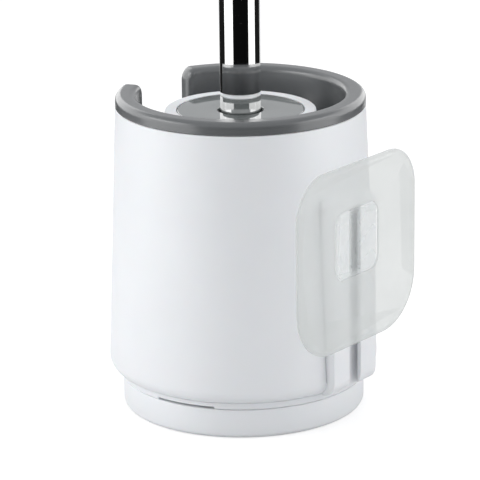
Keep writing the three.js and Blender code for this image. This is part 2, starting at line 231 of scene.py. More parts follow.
def make_studio():
    """Lights, floor and the curved cards that the steel and gloss reflect."""
    make_world()
    make_floor()
    area_light("key_left", -78, 1.1, 0.55, 0.9, 7.6, seen_in_gloss=True)
    area_light("front_left", -25, 1.3, 0.6, 1.2, 1.2, seen_in_gloss=False)
    area_light("fill_right", 80, 1.2, 0.5, 0.9, 6, seen_in_gloss=True)
    area_light("overhead", 180, 0.3, 1.4, 1.0, 6, seen_in_gloss=False)
    reflection_card("flag_front", -38, 50, 0.004)
    reflection_card("softbox_left", -93, -38, 1.7)
    reflection_card("softbox_right", 50, 93, 1.6)
    reflection_card("flag_back_left", -155, -93, 0.012, bottom=0.03, top=0.12)
    reflection_card("flag_back_right", 93, 145, 0.012, bottom=0.03, top=0.12)
    reflection_card("backdrop_left", -165, -95, 1.6, radius=0.42, bottom=0.12, top=0.45)
    reflection_card("backdrop_right", 95, 160, 1.6, radius=0.42, bottom=0.12, top=0.45)


# ---- materials -----------------------------------------------------------------

class Nodes:
    """Short words for wiring one material's nodes."""

    def __init__(self, name):
        self.material = bpy.data.materials.new(name)
        self.material.use_nodes = True
        self.tree = self.material.node_tree
        self.shader = self.tree.nodes["Principled BSDF"]
        self.place = self.tree.nodes.new("ShaderNodeTexCoord").outputs["Object"]

    def set(self, **values):
        for words, value in values.items():
            self.shader.inputs[words.replace("_", " ")].default_value = value

    def link(self, source, target):
        self.tree.links.new(source, target)

    def noise(self, scale, detail=3.0, stretch=None):
        node = self.tree.nodes.new("ShaderNodeTexNoise")
        node.inputs["Scale"].default_value = scale
        node.inputs["Detail"].default_value = detail
        source = self.place
        if stretch:
            mapping = self.tree.nodes.new("ShaderNodeMapping")
            mapping.inputs["Scale"].default_value = stretch
            self.link(source, mapping.inputs["Vector"])
            source = mapping.outputs["Vector"]
        self.link(source, node.inputs["Vector"])
        return node.outputs["Fac"]

    def between(self, factor, low, high):
        node = self.tree.nodes.new("ShaderNodeMapRange")
        node.inputs["To Min"].default_value = low
        node.inputs["To Max"].default_value = high
        self.link(factor, node.inputs["Value"])
        return node.outputs["Result"]

    def tint(self, factor, dark, light):
        node = self.tree.nodes.new("ShaderNodeValToRGB")
        node.color_ramp.elements[0].position = 0.3
        node.color_ramp.elements[1].position = 0.7
        node.color_ramp.elements[0].color = (*dark, 1)
        node.color_ramp.elements[1].color = (*light, 1)
        self.link(factor, node.inputs["Fac"])
        self.link(node.outputs["Color"], self.shader.inputs["Base Color"])

    def bump(self, *layers):
        """Each layer is (height, distance in metres)."""
        normal = None
        for height, distance in layers:
            node = self.tree.nodes.new("ShaderNodeBump")
            node.inputs["Distance"].default_value = distance
            node.inputs["Strength"].default_value = 1.0
            self.link(height, node.inputs["Height"])
            if normal:
                self.link(normal, node.inputs["Normal"])
            normal = node.outputs["Normal"]
        self.link(normal, self.shader.inputs["Normal"])

    def roughness(self, factor, low, high):
        self.link(self.between(factor, low, high), self.shader.inputs["Roughness"])


def shaded(colour, factor):
    """The colour made darker or lighter."""
    return tuple(min(1.0, channel * factor) for channel in colour)


def moulded_plastic(name, colour, roughness, grain=1.0, **values):
    """Injection-moulded plastic: fine spark texture, slow flow waves and small colour drift."""
    nodes = Nodes(name)
    drift = nodes.noise(28)
    grain_height = nodes.noise(2600, 2)
    flow = nodes.noise(60, 2, (1, 1, 0.35))
    nodes.tint(drift, shaded(colour, 0.985), shaded(colour, 1.012))
    nodes.roughness(nodes.noise(420), roughness - 0.05, roughness + 0.05)
    nodes.bump((flow, 0.00002), (grain_height, 0.000004 * grain))
    nodes.set(**values)
    return nodes.material


def polished_steel(name):
    """Mirror-polished tube: faint lengthwise draw lines and soft smears."""
    nodes = Nodes(name)
    draw_lines = nodes.noise(900, 4, (1, 1, 0.02))
    smears = nodes.noise(45, 3)
    nodes.tint(smears, (0.80, 0.80, 0.80), (0.86, 0.86, 0.855))
    nodes.roughness(smears, 0.025, 0.06)
    nodes.bump((draw_lines, 0.0000012))
    nodes.set(Metallic=1.0)
    return nodes.material


def plated_steel(name):
    """Zinc-plated steel: slightly yellow and blotchy."""
    nodes = Nodes(name)
    nodes.tint(nodes.noise(300), (0.52, 0.51, 0.48), (0.66, 0.65, 0.62))
    nodes.roughness(nodes.noise(700), 0.22, 0.38)
    nodes.bump((nodes.noise(1500), 0.000005))
    nodes.set(Metallic=1.0)
    return nodes.material


def thin_sheet(name, dark, light, roughness, cover, depth):
    """A thin translucent sheet: part of the light passes straight on, the rest is scattered."""
    nodes = Nodes(name)
    nodes.tint(nodes.noise(35), dark, light)
    nodes.roughness(nodes.noise(600), roughness - 0.04, roughness + 0.04)
    nodes.bump((nodes.noise(1800, 2), depth))
    cloud = nodes.noise(55, 2)
    nodes.link(nodes.between(cloud, cover - 0.03, cover + 0.03), nodes.shader.inputs["Alpha"])
    return nodes.material


def frosted_sheet(name):
    """The wall plate: milky sheet with a fine matt texture."""
    return thin_sheet(name, (0.585, 0.607, 0.598), (0.625, 0.647, 0.638), 0.42, 0.55, 0.000006)


def clear_moulding(name):
    """The hook's clear plastic."""
    return thin_sheet(name, (0.70, 0.73, 0.715), (0.75, 0.78, 0.765), 0.22, 0.33, 0.000004)


def adhesive_gel(name):
    """Soft clear gel film with slow ripples."""
    return thin_sheet(name, (0.88, 0.91, 0.895), (0.93, 0.95, 0.94), 0.3, 0.05, 0.00001)


def nylon_bristle(name):
    """White nylon that lets a little light in."""
    nodes = Nodes(name)
    nodes.tint(nodes.noise(400), (0.80, 0.81, 0.82), (0.90, 0.91, 0.92))
    nodes.roughness(nodes.noise(900), 0.35, 0.5)
    nodes.bump((nodes.noise(3000), 0.000003))
    nodes.set(Subsurface_Weight=0.15, Subsurface_Scale=0.002)
    return nodes.material


WHITE = (0.80, 0.815, 0.835)
GREY = (0.104, 0.110, 0.114)
INSET_GREY = (0.185, 0.203, 0.201)

MATERIALS = {
    "white_plastic": moulded_plastic("white_plastic", WHITE, 0.42, Subsurface_Weight=0.06,
                                     Subsurface_Scale=0.002),
    "grey_plastic": moulded_plastic("grey_plastic", GREY, 0.34, grain=0.6, Coat_Weight=1.0,
                                    Coat_Roughness=0.22),
    "grey_gloss": moulded_plastic("grey_gloss", INSET_GREY, 0.07, grain=0.1, IOR=1.7,
                                  Coat_Weight=1.0, Coat_Roughness=0.03),
    "frosted_plastic": frosted_sheet("frosted_plastic"),
    "clear_plastic": clear_moulding("clear_plastic"),
    "adhesive": adhesive_gel("adhesive"),
    "polished_steel": polished_steel("polished_steel"),
    "zinc_steel": plated_steel("zinc_steel"),
    "stem_plastic": moulded_plastic("stem_plastic", shaded(WHITE, 0.97), 0.5, grain=1.4),
    "bristle": nylon_bristle("bristle"),
}
# sheets that let so much light through that they hardly shade what lies right behind them
CLEAR_SLOTS = ("frosted_plastic", "clear_plastic", "adhesive")
NODE_SLOTS = {part["node"]: part["material_slot"] for part in frame["record"]["subparts"]}


# ---- mesh tools ----------------------------------------------------------------

SMOOTH_ANGLE = math.radians(32)
TURNED_SEGMENTS = 160


def mesh_object(name, vertices, faces):
    """A new object from millimetre vertices, with its faces turned outwards."""
    mesh = bpy.data.meshes.new(name)
    mesh.from_pydata([Vector(v) * MM for v in vertices], [], faces)
    work = bmesh.new()
    work.from_mesh(mesh)
    bmesh.ops.remove_doubles(work, verts=work.verts, dist=1e-7)
    bmesh.ops.recalc_face_normals(work, faces=work.faces)
    if work.calc_volume(signed=True) < 0:
        bmesh.ops.reverse_faces(work, faces=work.faces)
    work.to_mesh(mesh)
    work.free()
    piece = bpy.data.objects.new(name, mesh)
    bpy.context.scene.collection.objects.link(piece)
    return piece


def apply_modifiers(piece):
    """Makes the evaluated mesh the real one."""
    depsgraph = bpy.context.evaluated_depsgraph_get()
    made = bpy.data.meshes.new_from_object(piece.evaluated_get(depsgraph))
    piece.modifiers.clear()
    old = piece.data
    piece.data = made
    bpy.data.meshes.remove(old)


def boolean(piece, other, operation):
    """Joins or cuts piece with other, and removes other."""
    modifier = piece.modifiers.new(operation.lower(), "BOOLEAN")
    modifier.operation = operation
    modifier.object = other
    modifier.solver = "EXACT"
    apply_modifiers(piece)
    bpy.data.objects.remove(other)


def bevel(piece, width, segments=3, angle=40):
    """Rounds the edges that are sharper than an angle in degrees."""
    modifier = piece.modifiers.new("edges", "BEVEL")
    modifier.width = width * MM
    modifier.segments = segments
    modifier.limit_method = "ANGLE"
    modifier.angle_limit = math.radians(angle)
    modifier.miter_outer = "MITER_ARC"
    apply_modifiers(piece)


def finish_piece(piece, node, *also):
    """Gives a piece its finish and its body, both looked up from the CAD node that it stands for, and
    hides that node.
    """
    piece.data.materials.clear()
    piece.data.materials.append(MATERIALS[NODE_SLOTS[node]])
    piece.data.shade_smooth()
    piece.data.set_sharp_from_angle(angle=SMOOTH_ANGLE)
    piece.visible_shadow = NODE_SLOTS[node] not in CLEAR_SLOTS
    piece.visible_diffuse = piece.visible_shadow
    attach(piece, frame["nodes"][node]["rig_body"])
    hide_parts(node, *also)
    return piece


def cad_profile(node, azimuth):
    """The [radius, height] outline of a turned CAD node, read where it meets one half plane."""
    work = bmesh.new()
    work.from_mesh(frame["nodes"][node].data)
    bmesh.ops.remove_doubles(work, verts=work.verts, dist=2e-6)
    along = Vector((math.cos(math.radians(azimuth)), math.sin(math.radians(azimuth)), 0))
    across = Vector((-along.y, along.x, 0))

    def on_plane(vertex):
        return abs(vertex.co.dot(across)) < 5e-6 and vertex.co.dot(along) > -5e-6

    def on_axis(vertex):
        return vertex.co.xy.length < 5e-6

    links = {}
    for edge in work.edges:
        a, b = edge.verts
        if on_plane(a) and on_plane(b) and not (on_axis(a) and on_axis(b)):
            links.setdefault(a, []).append(b)
            links.setdefault(b, []).append(a)
    ends = [vertex for vertex in links if on_axis(vertex)]
    start = min(ends or links, key=lambda vertex: (vertex.co.z, vertex.co.dot(along)))
    outline = [start]
    previous = None
    while True:
        choices = [v for v in links[outline[-1]] if v is not previous]
        if not choices or choices[0] is start:
            break
        previous = outline[-1]
        outline.append(choices[0])
    points = [(vertex.co.dot(along) / MM, vertex.co.z / MM) for vertex in outline]
    work.free()
    return points


def rounded(outline, radius, closed=True):
    """Rounds each real corner of a [radius, height] outline with a short curve."""
    count = len(outline)
    result = []
    for i, point in enumerate(outline):
        here = Vector(point)
        on_end = not closed and i in (0, count - 1)
        back = Vector(outline[i - 1]) - here
        ahead = Vector(outline[(i + 1) % count]) - here
        turn = math.pi - back.angle(ahead) if back.length and ahead.length else 0
        if on_end or turn < math.radians(22):
            result.append(tuple(here))
            continue
        reach = min(radius * math.tan(turn / 2), 0.42 * back.length, 0.42 * ahead.length)
        first = here + back.normalized() * reach
        last = here + ahead.normalized() * reach
        steps = max(2, round(math.degrees(turn) / 18))
        for step in range(steps + 1):
            t = step / steps
            result.append(tuple(first * (1 - t) ** 2 + here * 2 * t * (1 - t) + last * t ** 2))
    return result


def revolve(name, outline, segments=TURNED_SEGMENTS):
    """Turns a [radius, height] outline in millimetres round +Z."""
    closed = outline[0][0] > 1e-6 or outline[-1][0] > 1e-6
    vertices = []
    rings = []
    for radius, height in outline:
        if radius < 1e-6:
            rings.append([len(vertices)] * segments)
            vertices.append((0, 0, height))
            continue
        rings.append([len(vertices) + i for i in range(segments)])
        for i in range(segments):
            angle = math.tau * i / segments
            vertices.append((radius * math.cos(angle), radius * math.sin(angle), height))
    pairs = list(zip(rings, rings[1:]))
    if closed:
        pairs.append((rings[-1], rings[0]))
    faces = []
    for low, high in pairs:
        for i in range(segments):
            j = (i + 1) % segments
            corners = [low[i], low[j], high[j], high[i]]
            face = [c for n, c in enumerate(corners) if c not in corners[:n]]
            faces.append(face)
    return mesh_object(name, vertices, faces)


def turned_piece(name, node, edge, azimuth=-90, segments=TURNED_SEGMENTS):
    """Revolves a CAD outline with its corners rounded."""
    outline = cad_profile(node, azimuth)
    closed = outline[0][0] > 1e-6
    return revolve(name, rounded(outline, edge, closed), segments)


def extrude(name, outline, low, high, axis="Y"):
    """A closed outline made solid between two heights along Y (outline in x, z) or Z (x, y)."""
    count = len(outline)
    if axis == "Y":
        vertices = [(x, level, z) for level in (low, high) for x, z in outline]
    else:
        vertices = [(x, y, level) for level in (low, high) for x, y in outline]
    sides = [(i, (i + 1) % count, count + (i + 1) % count, count + i) for i in range(count)]
    caps = [tuple(range(count)), tuple(range(count, 2 * count))]
    return mesh_object(name, vertices, sides + caps)


def arc(centre, radius, start, end, steps):
    """Points on an arc, from start to end in degrees."""
    points = []
    for step in range(steps + 1):
        angle = math.radians(start + (end - start) * step / steps)
        points.append((centre[0] + radius * math.cos(angle), centre[1] + radius * math.sin(angle)))
    return points


def rounded_rectangle(half_width, bottom, top, top_corner, bottom_corner=None, steps=16):
    """An upright rectangle round x = 0, with its own corners at top and bottom."""
    low_corner = bottom_corner or top_corner
    top_x = half_width - top_corner
    low_x = half_width - low_corner
    return (arc((top_x, top - top_corner), top_corner, 90, 0, steps)
            + arc((low_x, bottom + low_corner), low_corner, 0, -90, steps)
            + arc((-low_x, bottom + low_corner), low_corner, -90, -180, steps)
            + arc((-top_x, top - top_corner), top_corner, 180, 90, steps))


# ---- the holder ----------------------------------------------------------------

def top_of(node):
    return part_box(node)[1][2] / MM


def bottom_of(node):
    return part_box(node)[0][2] / MM


GAP = 0.3
RIM_RADIUS = 58.15
RIM_TOP = top_of("collar")
RIM_SEAM = 144.5
RIM_EDGE = 3.0
RIM_INNER_EDGE = 2.8
END_ROUND = 4.6                  # the notch's sides and floor are rounded like a nose

NOTCH_TURN = math.radians(-2.85)  # from -Y to the notch's middle, towards -X
NOTCH_HALF = RIM_RADIUS * math.tan(math.radians(18.7))
NOTCH_FLOOR = 112
NOTCH_FLOOR_ROUND = 8
NOTCH_TOP_ROUND = 6.5
NOTCH_FRAME = 5.5

LINING = (48.5, 50.5)
LIP = (53.2, 55.4)
LIP_BOTTOM = 137
BACK_OFF = 0.1                   # the frame's face lies this far inside the shell's

SHELL_TOP = top_of("shell")
SHELL_BOTTOM = bottom_of("shell")
SHELL_FOOT_RADIUS = 63.45
SHELL_FOOT = 17.5
SHELL_WALL = 2.4
BAND_RADIUS = 57.3
BAND_TOP = 18
FILLET_TOP = 24.5
CREASE = 0.35                    # fine groove where the fillet meets the band


def shell_radius(z):
    """The shell's outer radius at a height."""
    share = (z - SHELL_FOOT) / (SHELL_TOP - SHELL_FOOT)
    return SHELL_FOOT_RADIUS + (RIM_RADIUS - SHELL_FOOT_RADIUS) * share


def notch_half_width(z, grow):
    """Half the notch's width, measured at the rim's radius, with its sides and floor grown."""
    half = NOTCH_HALF + grow
    floor_round = NOTCH_FLOOR_ROUND + grow
    corner_z = NOTCH_FLOOR + NOTCH_FLOOR_ROUND
    flare_z = RIM_TOP - NOTCH_TOP_ROUND
    if z < corner_z:
        drop = min(corner_z - z, floor_round)
        return half - floor_round + math.sqrt(floor_round ** 2 - drop ** 2)
    if z > flare_z:
        rise = min(z - flare_z, NOTCH_TOP_ROUND)
        return half + NOTCH_TOP_ROUND - math.sqrt(NOTCH_TOP_ROUND ** 2 - rise ** 2)
    return half


def corner_levels(grow, steps=7):
    """Heights up the notch's floor corner, closer together where it is flatter."""
    centre = NOTCH_FLOOR + NOTCH_FLOOR_ROUND
    radius = NOTCH_FLOOR_ROUND + grow
    return [centre - radius * math.cos(math.radians(90 * i / steps)) for i in range(steps + 1)]


def notch_columns(inside, cheek, outside):
    """Column places round the ring from the notch's middle: (zone, share, side) for each."""
    right = [("notch", i / inside) for i in range(inside)]
    right += [("cheek", i / cheek) for i in range(cheek)]
    right += [("outside", i / outside) for i in range(outside + 1)]
    left = [(zone, share, -1) for zone, share in reversed(right[1:-1])]
    return [(zone, share, 1) for zone, share in right] + left


def column_angle(column, inner_half, outer_half):
    """The angle from the notch's middle, in radians, of one column at those half widths."""
    zone, share, side = column
    inner = math.atan(inner_half / RIM_RADIUS)
    outer = math.atan(outer_half / RIM_RADIUS)
    if zone == "notch":
        return side * share * inner
    if zone == "cheek":
        return side * (inner + (outer - inner) * share)
    return side * (outer + (math.pi - outer) * share)


def block_mesh(name, columns, rows, layers, place, solid):
    """The skin of the solid cells of a ring of blocks: columns round, rows up, layers outwards."""
    numbers = {}
    vertices = []

    def vertex(j, k, i):
        key = (j % columns, k, i)
        if key not in numbers:
            numbers[key] = len(vertices)
            vertices.append(place(*key))
        return numbers[key]

    def filled(j, k, i):
        return 0 <= k < rows and 0 <= i < layers and solid(j % columns, k, i)

    steps = {
        (1, 0, 0): ((1, 0, 0), (1, 1, 0), (1, 1, 1), (1, 0, 1)),
        (-1, 0, 0): ((0, 0, 0), (0, 0, 1), (0, 1, 1), (0, 1, 0)),
        (0, 1, 0): ((0, 1, 0), (0, 1, 1), (1, 1, 1), (1, 1, 0)),
        (0, -1, 0): ((0, 0, 0), (1, 0, 0), (1, 0, 1), (0, 0, 1)),
        (0, 0, 1): ((0, 0, 1), (1, 0, 1), (1, 1, 1), (0, 1, 1)),
        (0, 0, -1): ((0, 0, 0), (0, 1, 0), (1, 1, 0), (1, 0, 0)),
    }
    faces = []
    for j in range(columns):
        for k in range(rows):
            for i in range(layers):
                if not filled(j, k, i):
                    continue
                for (dj, dk, di), corners in steps.items():
                    if not filled(j + dj, k + dk, i + di):
                        faces.append(tuple(vertex(j + a, k + b, i + c) for a, b, c in corners))
    return mesh_object(name, vertices, faces)


def polar(radius, angle, height):
    """A point at an angle from the notch's middle, positive towards +X."""
    turned = angle + NOTCH_TURN
    return (radius * math.sin(turned), -radius * math.cos(turned), height)


def edge_drop(distance, radius):
    """How far a rounded edge falls back, at a distance in from that edge."""
    inwards = max(0.0, radius - distance)
    return radius - math.sqrt(radius ** 2 - inwards ** 2)


def collar_levels():
    """Heights of the collar's rows, closer together round the notch's corners."""
    levels = [bottom_of("collar"), NOTCH_FLOOR - NOTCH_FRAME]
    levels += corner_levels(0)
    levels += [128, LIP_BOTTOM, RIM_SEAM]
    flare_z = RIM_TOP - NOTCH_TOP_ROUND
    flare = [flare_z + NOTCH_TOP_ROUND * math.sin(math.radians(a)) for a in range(0, 91, 6)]
    levels += [z for z in flare if abs(z - RIM_SEAM) > GAP]
    return sorted(levels)


def collar_lines():
    """Radii of the collar's layers at the rim, closer together near both faces."""
    steps = (0, 0.12, 0.4, 0.8, 1.3, 2, 2.9, 3.7, END_ROUND)
    lines = {LINING[0] + step for step in steps} | {RIM_RADIUS - step for step in steps}
    return sorted(lines | {LINING[1], *LIP})


def make_collar():
    """C-shaped rim, thin inner lining, locating lip and the frame that lines the notch."""
    columns = notch_columns(20, 3, 90)
    levels = collar_levels()
    lines = collar_lines()
    sill = NOTCH_FLOOR - NOTCH_FRAME
    corner_z = NOTCH_FLOOR + NOTCH_FLOOR_ROUND
    flare_z = RIM_TOP - NOTCH_TOP_ROUND

    def radius_at(i, z):
        if z >= RIM_SEAM or lines[i] <= LIP[1]:
            return lines[i]
        outer = shell_radius(z) - BACK_OFF
        return LIP[1] + (lines[i] - LIP[1]) * (outer - LIP[1]) / (RIM_RADIUS - LIP[1])

    def from_faces(radius):
        return edge_drop(radius - LINING[0], RIM_INNER_EDGE) + edge_drop(RIM_RADIUS - radius, RIM_EDGE)

    def nose(radius):
        return max(edge_drop(radius - LINING[0], END_ROUND), edge_drop(RIM_RADIUS - radius, END_ROUND))

    def place(j, k, i):
        z = levels[k]
        zone, share, side = columns[j]
        inner_half = notch_half_width(z, 0)
        outer_half = notch_half_width(z, NOTCH_FRAME)
        top_drop = from_faces(lines[i])
        back = nose(lines[i])
        height = z
        if z > RIM_SEAM:
            height -= top_drop * (z - RIM_SEAM) / (RIM_TOP - RIM_SEAM)
        if zone == "notch" and z == NOTCH_FLOOR:
            height -= back
        elif zone == "cheek" and z >= NOTCH_FLOOR:
            lean = max(0.0, (corner_z - z) / NOTCH_FLOOR_ROUND)
            rise = min(1.0, max(0.0, (z - flare_z) / NOTCH_TOP_ROUND))
            turned = math.asin(rise) / math.radians(90)
            back += (top_drop - back) * turned ** 2 * (3 - 2 * turned)
            inner_half += back * math.sqrt(max(0.0, 1 - lean ** 2 - rise ** 2))
            height += (z - back * (lean + rise) - height) * (1 - share)
        angle = column_angle((zone, share, side), inner_half, outer_half)
        return polar(radius_at(i, z), angle, height)

    def solid(j, k, i):
        middle = (levels[k] + levels[k + 1]) / 2
        radius = (lines[i] + lines[i + 1]) / 2
        zones = {columns[j][0], columns[(j + 1) % len(columns)][0]}
        in_notch = "notch" in zones
        in_cheek = "cheek" in zones and not in_notch
        in_lining = radius < LINING[1]
        if in_notch:
            return sill < middle < NOTCH_FLOOR or (in_lining and middle < NOTCH_FLOOR)
        if middle > RIM_SEAM or in_lining:
            return True
        in_lip = LIP[0] < radius < LIP[1]
        return (in_cheek and middle > sill) or (in_lip and middle > LIP_BOTTOM)

    piece = block_mesh("collar_moulding", len(columns), len(levels) - 1, len(lines) - 1, place, solid)
    bevel(piece, 0.35, segments=2, angle=62)
    return finish_piece(piece, "collar")


def shell_profile():
    """Matching outer and inner [radius, height] points from the shell's foot to its top."""
    pairs = []
    groove = BAND_RADIUS - CREASE
    for radius, z in ((BAND_RADIUS - 0.4, SHELL_BOTTOM), (BAND_RADIUS, SHELL_BOTTOM + 0.4),
                      (BAND_RADIUS, BAND_TOP - 2 * CREASE), (groove, BAND_TOP - 1.6 * CREASE),
                      (groove, BAND_TOP - 0.4 * CREASE)):
        pairs.append(((radius, z), (BAND_RADIUS - SHELL_WALL, z)))
    reach = shell_radius(FILLET_TOP) - BAND_RADIUS
    steps = 10
    for step in range(steps + 1):
        angle = math.radians(90 * step / steps)
        radius = BAND_RADIUS + reach * math.sin(angle)
        outer = (radius, FILLET_TOP - (FILLET_TOP - BAND_TOP) * math.cos(angle))
        inner_drop = FILLET_TOP - BAND_TOP - SHELL_WALL
        inner = (radius - SHELL_WALL, FILLET_TOP - inner_drop * math.cos(angle))
        pairs.append((outer, inner))
    grow = NOTCH_FRAME + GAP
    heights = [40, 60, 80, 98] + corner_levels(grow) + [132, SHELL_TOP - 0.3]
    for z in heights:
        pairs.append(((shell_radius(z), z), (shell_radius(z) - SHELL_WALL, z)))
    lip = shell_radius(SHELL_TOP) - 0.3
    pairs.append(((lip, SHELL_TOP), (lip - SHELL_WALL + 0.6, SHELL_TOP)))
    return pairs


def shell_wall():
    """The tapered wall with the notch left open."""
    columns = notch_columns(18, 1, 84)
    pairs = shell_profile()
    grow = NOTCH_FRAME + GAP
    floor = NOTCH_FLOOR - grow

    def place(j, k, i):
        radius, z = pairs[k][0] if i else pairs[k][1]
        zone, share, side = columns[j]
        inner_half = notch_half_width(z, grow)
        angle = column_angle((zone, share, side), inner_half, inner_half + 2)
        return polar(radius, angle, z)

    def solid(j, k, i):
        zones = {columns[j][0], columns[(j + 1) % len(columns)][0]}
        middle = (pairs[k][0][1] + pairs[k + 1][0][1]) / 2
        return "notch" not in zones or middle < floor

    return block_mesh("shell_moulding", len(columns), len(pairs) - 1, 1, place, solid)


PAD_HALF = 16.4
PAD_FACE = 65.3
PAD_BACK = 58.2
PAD_TOP = 111
PAD_SLOPE = 106.8
PAD_EDGE = 2.0
PAD_FOOT = 6                     # how far the foot's curve reaches in under the pad's face
CHANNEL_SLOT_HALF = 4.3
CHANNEL_LIP = 63.5
CHANNEL_HALF = 7.6
CHANNEL_FLOOR = 60.8
CHANNEL_TOP = 106.3
CHANNEL_EDGE = 0.5


def wall_pad():
    """The raised pad on the wall side, with soft edges and a foot like the shell's fillet."""
    drop = FILLET_TOP - BAND_TOP
    outline = [(PAD_BACK, BAND_TOP)]
    for step in range(11):
        angle = math.radians(-90 + 9 * step)
        y = PAD_FACE - PAD_FOOT + PAD_FOOT * math.cos(angle)
        outline.append((y, FILLET_TOP + drop * math.sin(angle)))
    outline += [(PAD_FACE, PAD_SLOPE), (shell_radius(PAD_TOP) - 1, PAD_TOP), (PAD_BACK, PAD_TOP)]
    count = len(outline)
    vertices = [(x, y, z) for x in (-PAD_HALF, PAD_HALF) for y, z in outline]
    sides = [(i, (i + 1) % count, count + (i + 1) % count, count + i) for i in range(count)]
    caps = [tuple(range(count)), tuple(range(count, 2 * count))]
    pad = mesh_object("wall_pad", vertices, sides + caps)
    bevel(pad, PAD_EDGE, segments=4, angle=28)
    return pad


def pad_crease(side):
    """A cutter for the fine groove where one side of the pad meets the shell."""
    vertices = []
    for z in (FILLET_TOP, PAD_SLOPE):
        surface = math.sqrt(shell_radius(z) ** 2 - PAD_HALF ** 2)
        for x in (PAD_HALF - 0.1, PAD_HALF + CREASE):
            for y in (surface - 2 * CREASE, surface + CREASE):
                vertices.append((side * x, y, z))
    faces = [(0, 1, 3, 2), (4, 5, 7, 6), (0, 1, 5, 4), (2, 3, 7, 6), (0, 2, 6, 4), (1, 3, 7, 5)]
    return mesh_object("pad_crease", vertices, faces)


def hook_channel():
    """The T-shaped channel's cutter, flared where its slot meets the pad's face."""
    half = CHANNEL_SLOT_HALF
    flare = arc((half + CHANNEL_EDGE, PAD_FACE - CHANNEL_EDGE), CHANNEL_EDGE, 180, 90, 4)
    right = [(CHANNEL_HALF, CHANNEL_FLOOR), (CHANNEL_HALF, CHANNEL_LIP), (half, CHANNEL_LIP)]
    right += flare + [(half + CHANNEL_EDGE, PAD_FACE + 3)]
    outline = right + [(-x, y) for x, y in reversed(right)]
    return extrude("hook_channel", outline, -1, CHANNEL_TOP, axis="Z")


VENT_CENTRE = 9
VENT_HALF = 15
VENT_HEIGHT = 1.1
VENT_BOTTOM = 14.1
VENT_DEPTH = 9
VENT_OVERSHOOT = 4               # how far the cutter stands out of the band


def vent_slot(side):
    """A cutter for the slot between the shell and the base."""
    centre = VENT_CENTRE if side > 0 else 180 - VENT_CENTRE
    outer = arc((0, 0), BAND_RADIUS + VENT_OVERSHOOT, centre - VENT_HALF, centre + VENT_HALF, 16)
    inner = arc((0, 0), BAND_RADIUS - VENT_DEPTH, centre + VENT_HALF, centre - VENT_HALF, 16)
    top = VENT_BOTTOM + VENT_HEIGHT + GAP
    return extrude("vent_slot", outer + inner, VENT_BOTTOM, top, axis="Z")


def make_shell():
    """The wall with its pad, hook channel and vents."""
    piece = shell_wall()
    boolean(piece, wall_pad(), "UNION")
    for side in (1, -1):
        boolean(piece, pad_crease(side), "DIFFERENCE")
    boolean(piece, hook_channel(), "DIFFERENCE")
    for side in (1, -1):
        boolean(piece, vent_slot(side), "DIFFERENCE")
    return finish_piece(piece, "shell")


def make_base():
    """The tray, with its half of the vents."""
    piece = turned_piece("base_moulding", "base_tray", 0.7, segments=192)
    for side in (1, -1):
        boolean(piece, vent_slot(side), "DIFFERENCE")
    return finish_piece(piece, "base_tray")


# ---- the wall mount ------------------------------------------------------------

PLATE_CORNERS = (20.5, 25.5)     # top, bottom
FILM_MARGIN = 1.5
WINDOW = (16.5, 73.5, 105.6, 6)  # half width, bottom, top, corner
HOOK_BOTTOM = 75
NECK_HALF = 3.8
NECK_TOP = 105.4
NECK_Y = 62.6                    # where the neck starts, inside the head
HEAD_HALF = 6.9
HEAD_TOP = 106
HEAD_OUTER_Y = 63.1
HOOK_EDGE = 0.55


def wall_sheet():
    """The frosted plate with the hook's window."""
    low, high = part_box("wall_plate")
    outline = rounded_rectangle(high[0] / MM, low[2] / MM, high[2] / MM, *PLATE_CORNERS, steps=24)
    piece = extrude("wall_sheet", outline, low[1] / MM, high[1] / MM)
    window = rounded_rectangle(*WINDOW)
    boolean(piece, extrude("window", window, low[1] / MM - 1, high[1] / MM + 1), "DIFFERENCE")
    bevel(piece, 0.3, segments=3, angle=60)
    return finish_piece(piece, "wall_plate")


def upright_rectangle(half_width, bottom, top):
    """A rectangle round x = 0."""
    return [(-half_width, bottom), (half_width, bottom), (half_width, top), (-half_width, top)]


def hook_moulding():
    """The clear block, its neck and its T head."""
    low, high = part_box("wall_hook")
    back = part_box("wall_plate")[0][1] / MM
    half, bottom, top, corner = WINDOW
    outline = rounded_rectangle(half - GAP, bottom + GAP, top - GAP, corner - GAP)
    piece = extrude("hook_moulding", outline, back, high[1] / MM)
    bevel(piece, HOOK_EDGE, segments=3, angle=60)
    neck = upright_rectangle(NECK_HALF, HOOK_BOTTOM, NECK_TOP)
    boolean(piece, extrude("neck", neck, NECK_Y, back + 0.5), "UNION")
    head = upright_rectangle(HEAD_HALF, HOOK_BOTTOM, HEAD_TOP)
    boolean(piece, extrude("head", head, low[1] / MM, HEAD_OUTER_Y), "UNION")
    bevel(piece, 0.2, segments=2, angle=60)
    return finish_piece(piece, "wall_hook")


def adhesive_sheet():
    """The clear film on the plate's wall side."""
    low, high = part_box("adhesive_film")
    corners = [corner - FILM_MARGIN for corner in PLATE_CORNERS]
    outline = rounded_rectangle(high[0] / MM, low[2] / MM, high[2] / MM, *corners, steps=24)
    piece = extrude("adhesive_sheet", outline, low[1] / MM, high[1] / MM)
    bevel(piece, 0.15, segments=2, angle=60)
    return finish_piece(piece, "adhesive_film")


# ---- the brush -----------------------------------------------------------------

TURNED_PIECES = [
    # name, node, edge rounding, segments
    ("steel_tube", "handle_tube", 0.25, 128),
    ("end_cap", "handle_cap", 0.4, 96),
    ("lid_shell", "lid_disc", 0.35, 160),
    ("lid_face", "lid_inset", 0.25, 160),
    ("lid_floor", "lid_underplate", 0.4, 128),
    ("grip_bush", "lid_bush", 0.4, 96),
    ("threaded_plug", "tube_plug", 0.4, 96),
    ("brush_neck", "brush_stem", 0.8, 96),
    ("brush_core", "brush_hub", 0.8, 64),
]


